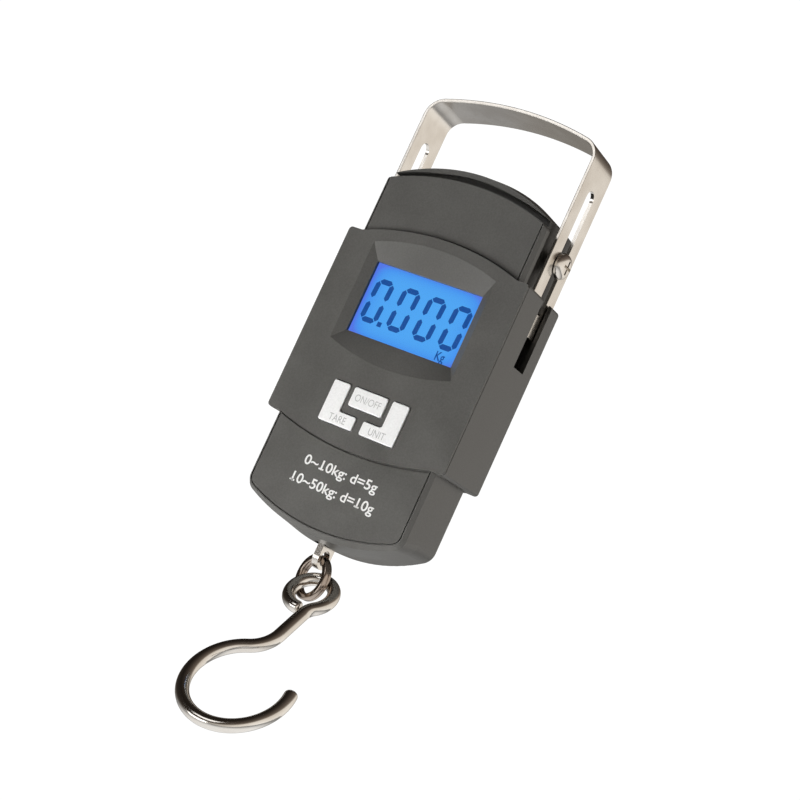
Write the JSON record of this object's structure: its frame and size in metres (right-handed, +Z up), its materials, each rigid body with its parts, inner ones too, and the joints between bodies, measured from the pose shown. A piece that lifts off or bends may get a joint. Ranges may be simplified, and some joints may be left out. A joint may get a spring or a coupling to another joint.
{
  "type": "digital hanging scale",
  "caption": "Hand-held digital hanging scale with sliding steel handle, lit display, buttons and swinging wire hook.",
  "frame": {"origin": "under the middle of the handle's bar, at the middle of the strap's width, with the handle part way out", "axes": "+Z up along the line of pull, +X to the right seen from the display side, -Y towards the display side"},
  "size_m": [0.07, 0.0584, 0.2132],
  "materials": {
    "case_plastic": "fine moulded texture",
    "cover_plastic": "fine moulded texture",
    "window": "clear acrylic",
    "display": "lit blue",
    "light_guide": "clear",
    "white_plastic": "satin",
    "rubber": "matte",
    "board": "solder mask",
    "chip": "matte",
    "capacitor": "sleeved can",
    "switch_plastic": "matte",
    "button_paint": "silver paint",
    "plain_steel": "zinc plated",
    "beam_aluminium": "milled",
    "silicone": "soft",
    "tab_steel": "nickel plated",
    "handle_steel": "nickel plated, satin",
    "screw_steel": "nickel plated",
    "ring_steel": "nickel plated",
    "hook_steel": "polished nickel plate",
    "cell_jacket": "printed jacket",
    "contact_nickel": "nickel plated",
    "black_screw": "black zinc"
  },
  "bodies": {
    "case": {"front_cover": "case_plastic", "back_shell": "case_plastic", "display_window": "window", "display_glass": "display", "backlight_panel": "light_guide", "display_holder": "white_plastic", "contact_strip": "rubber", "main_board": "board", "processor_chip": "chip", "converter_chip": "chip", "reservoir_capacitor": "capacitor", "tact_switches": "switch_plastic", "hanger_bar": "plain_steel", "hanger_screws": "plain_steel", "weighing_beam": "beam_aluminium", "gauge_pad": "silicone", "hook_tab": "tab_steel", "tab_rivet": "plain_steel", "side_screws": "screw_steel", "slot_bushes": "white_plastic", "battery_left": "cell_jacket", "battery_right": "cell_jacket", "battery_contacts": "contact_nickel", "battery_springs": "contact_nickel", "case_screws": "black_screw", "board_screws": "plain_steel"},
    "handle": {"handle": "handle_steel"},
    "power_button": {"power_button": "button_paint", "power_plunger": "switch_plastic"},
    "tare_button": {"tare_button": "button_paint", "tare_plunger": "switch_plastic"},
    "unit_button": {"unit_button": "button_paint", "unit_plunger": "switch_plastic"},
    "battery_cover": {"battery_cover": "cover_plastic"},
    "link_ring": {"link_ring": "ring_steel"},
    "hook": {"hook": "hook_steel"}
  },
  "joints": [
    {"name": "handle_slide", "type": "slide", "parent": "case", "child": "handle", "axis": [0, 0, 1], "range_m": [-0.022, 0.0142]},
    {"name": "power_press", "type": "slide", "parent": "case", "child": "power_button", "axis": [0, 1, 0], "range_m": [0, 0.0005], "stiffness_N_per_m": 400},
    {"name": "tare_press", "type": "slide", "parent": "case", "child": "tare_button", "axis": [0, 1, 0], "range_m": [0, 0.0005], "stiffness_N_per_m": 400},
    {"name": "unit_press", "type": "slide", "parent": "case", "child": "unit_button", "axis": [0, 1, 0], "range_m": [0, 0.0005], "stiffness_N_per_m": 400},
    {"name": "battery_cover_slide", "type": "slide", "parent": "case", "child": "battery_cover", "axis": [0, 0, -1], "range_m": [0, 0.012]},
    {"name": "ring_swing", "type": "hinge", "parent": "case", "child": "link_ring", "pos_m": [0, -0.0032, -0.1546], "axis": [1, 0, 0], "range_deg": [-40, 40]},
    {"name": "hook_swing", "type": "hinge", "parent": "link_ring", "child": "hook", "pos_m": [0, -0.0032, -0.16275], "axis": [1, 0, 0], "range_deg": [-60, 4]}
  ]
}
